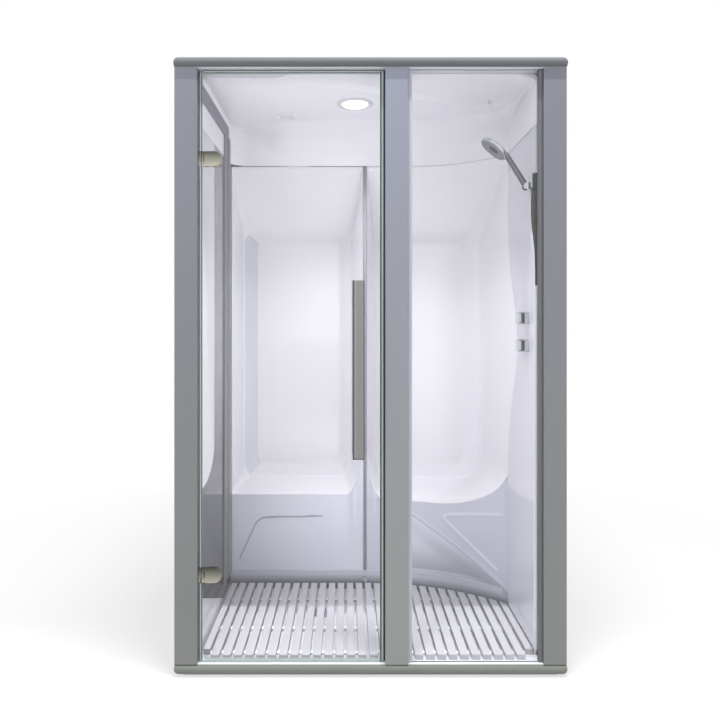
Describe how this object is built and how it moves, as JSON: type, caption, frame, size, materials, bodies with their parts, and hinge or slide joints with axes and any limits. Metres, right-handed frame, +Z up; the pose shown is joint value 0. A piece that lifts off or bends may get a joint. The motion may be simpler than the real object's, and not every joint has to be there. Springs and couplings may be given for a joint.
{
  "type": "steam sauna cabin",
  "caption": "Free-standing two-seat steam cabin: grey frame, hinged glass door, fixed glass light, white moulded seats, slatted floor and wall shower.",
  "frame": {"origin": "on the floor, under the middle of the cabin's width and of its depth from the frame's front face to the back sheet", "axes": "+Z up, +X to the right for a person facing the door, +Y from the door to the back"},
  "size_m": [1.33, 1.138, 2.1],
  "materials": {
    "frame": "satin anodised",
    "bead": "satin anodised",
    "clear_glass": "clear, polished",
    "seal": "satin",
    "hinge_metal": "polished",
    "handle_metal": "brushed",
    "lining": "back-painted grey glass",
    "acrylic": "glossy white",
    "slat": "satin white",
    "batten": "satin",
    "chrome": "polished",
    "spray": "matte",
    "ring": "glossy white",
    "lens": "opal, lit",
    "housing": "matte",
    "black": "matte",
    "brass": "turned",
    "copper": "drawn tube",
    "dark_frame": "powder coat",
    "stainless": "brushed",
    "sheet": "satin paint",
    "screw": "plain",
    "plywood": "sealed",
    "insulation": "foam sleeve",
    "red_plastic": "glossy"
  },
  "bodies": {
    "cabin": {"base_frame": "dark_frame", "levelling_feet": "black", "left_stile": "frame", "right_stile": "frame", "mullion": "frame", "top_rail": "frame", "bottom_rail": "frame", "glazing_beads": "bead", "fixed_glass": "clear_glass", "door_stop": "seal", "hinge_blocks": "hinge_metal", "hinge_pins": "stainless", "left_lining": "lining", "lining_frame": "frame", "left_seat": "acrylic", "right_seat": "acrylic", "joint_strip": "bead", "seat_ribs": "plywood", "shower_column": "acrylic", "ceiling_dome": "acrylic", "tray": "acrylic", "drain_flange": "stainless", "downlight_body": "housing", "downlight_ring": "ring", "downlight_lens": "lens", "vent_grille": "ring", "fan_housing": "housing", "valve_body": "brass", "water_pipes": "copper", "shower_bracket": "chrome", "rear_posts": "dark_frame", "roof_rails": "dark_frame", "left_cladding": "sheet", "right_cladding": "sheet", "back_cladding": "sheet", "service_panel": "sheet", "roof_panel": "sheet", "panel_screws": "screw", "steam_tank": "stainless", "heating_element": "copper", "steam_pipe": "insulation", "steam_nozzle": "chrome", "drain_valve": "brass", "control_box": "housing"},
    "door": {"door_glass": "clear_glass", "door_seals": "seal", "hinge_clamps": "hinge_metal", "door_handle": "handle_metal"},
    "left_board": {"left_slats": "slat", "left_battens": "batten"},
    "right_board": {"right_slats": "slat", "right_battens": "batten"},
    "drain_lid": {"drain_cover": "chrome"},
    "mixer": {"mixer_knob": "chrome"},
    "diverter": {"diverter_knob": "chrome"},
    "handset": {"shower_arm": "chrome", "shower_head": "spray"},
    "fan": {"fan_rotor": "black"},
    "drain_tap": {"drain_lever": "red_plastic"},
    "isolator": {"isolator_knob": "red_plastic"}
  },
  "joints": [
    {"name": "door_hinge", "type": "hinge", "parent": "cabin", "child": "door", "pos_m": [-0.5735, -0.526, 1.042], "axis": [0, 0, -1], "range_deg": [0, 95]},
    {"name": "left_board_lift", "type": "slide", "parent": "cabin", "child": "left_board", "axis": [0, 0, 1], "range_m": [0, 0.25]},
    {"name": "right_board_lift", "type": "slide", "parent": "cabin", "child": "right_board", "axis": [0, 0, 1], "range_m": [0, 0.25]},
    {"name": "drain_lid_lift", "type": "slide", "parent": "cabin", "child": "drain_lid", "axis": [0, 0, 1], "range_m": [0, 0.006]},
    {"name": "mixer_turn", "type": "hinge", "parent": "cabin", "child": "mixer", "pos_m": [0.5535, -0.4, 1.217], "axis": [-1, 0, 0], "range_deg": [-45, 45]},
    {"name": "diverter_turn", "type": "hinge", "parent": "cabin", "child": "diverter", "pos_m": [0.5535, -0.4, 1.118], "axis": [-1, 0, 0], "range_deg": [-90, 90]},
    {"name": "shower_tilt", "type": "hinge", "parent": "cabin", "child": "handset", "pos_m": [0.552, -0.455, 1.68], "axis": [0, 1, 0], "range_deg": [-20, 20]},
    {"name": "fan_spin", "type": "hinge", "parent": "cabin", "child": "fan", "pos_m": [-0.327, 0.185, 2.026], "axis": [0, 1, 0], "continuous": true},
    {"name": "drain_tap_turn", "type": "hinge", "parent": "cabin", "child": "drain_tap", "pos_m": [-0.44, 0.442, 0.1], "axis": [0, 0, 1], "range_deg": [0, 90]},
    {"name": "isolator_turn", "type": "hinge", "parent": "cabin", "child": "isolator", "pos_m": [-0.2325, 0.479, 0.255], "axis": [0, 1, 0], "range_deg": [0, 90]}
  ]
}
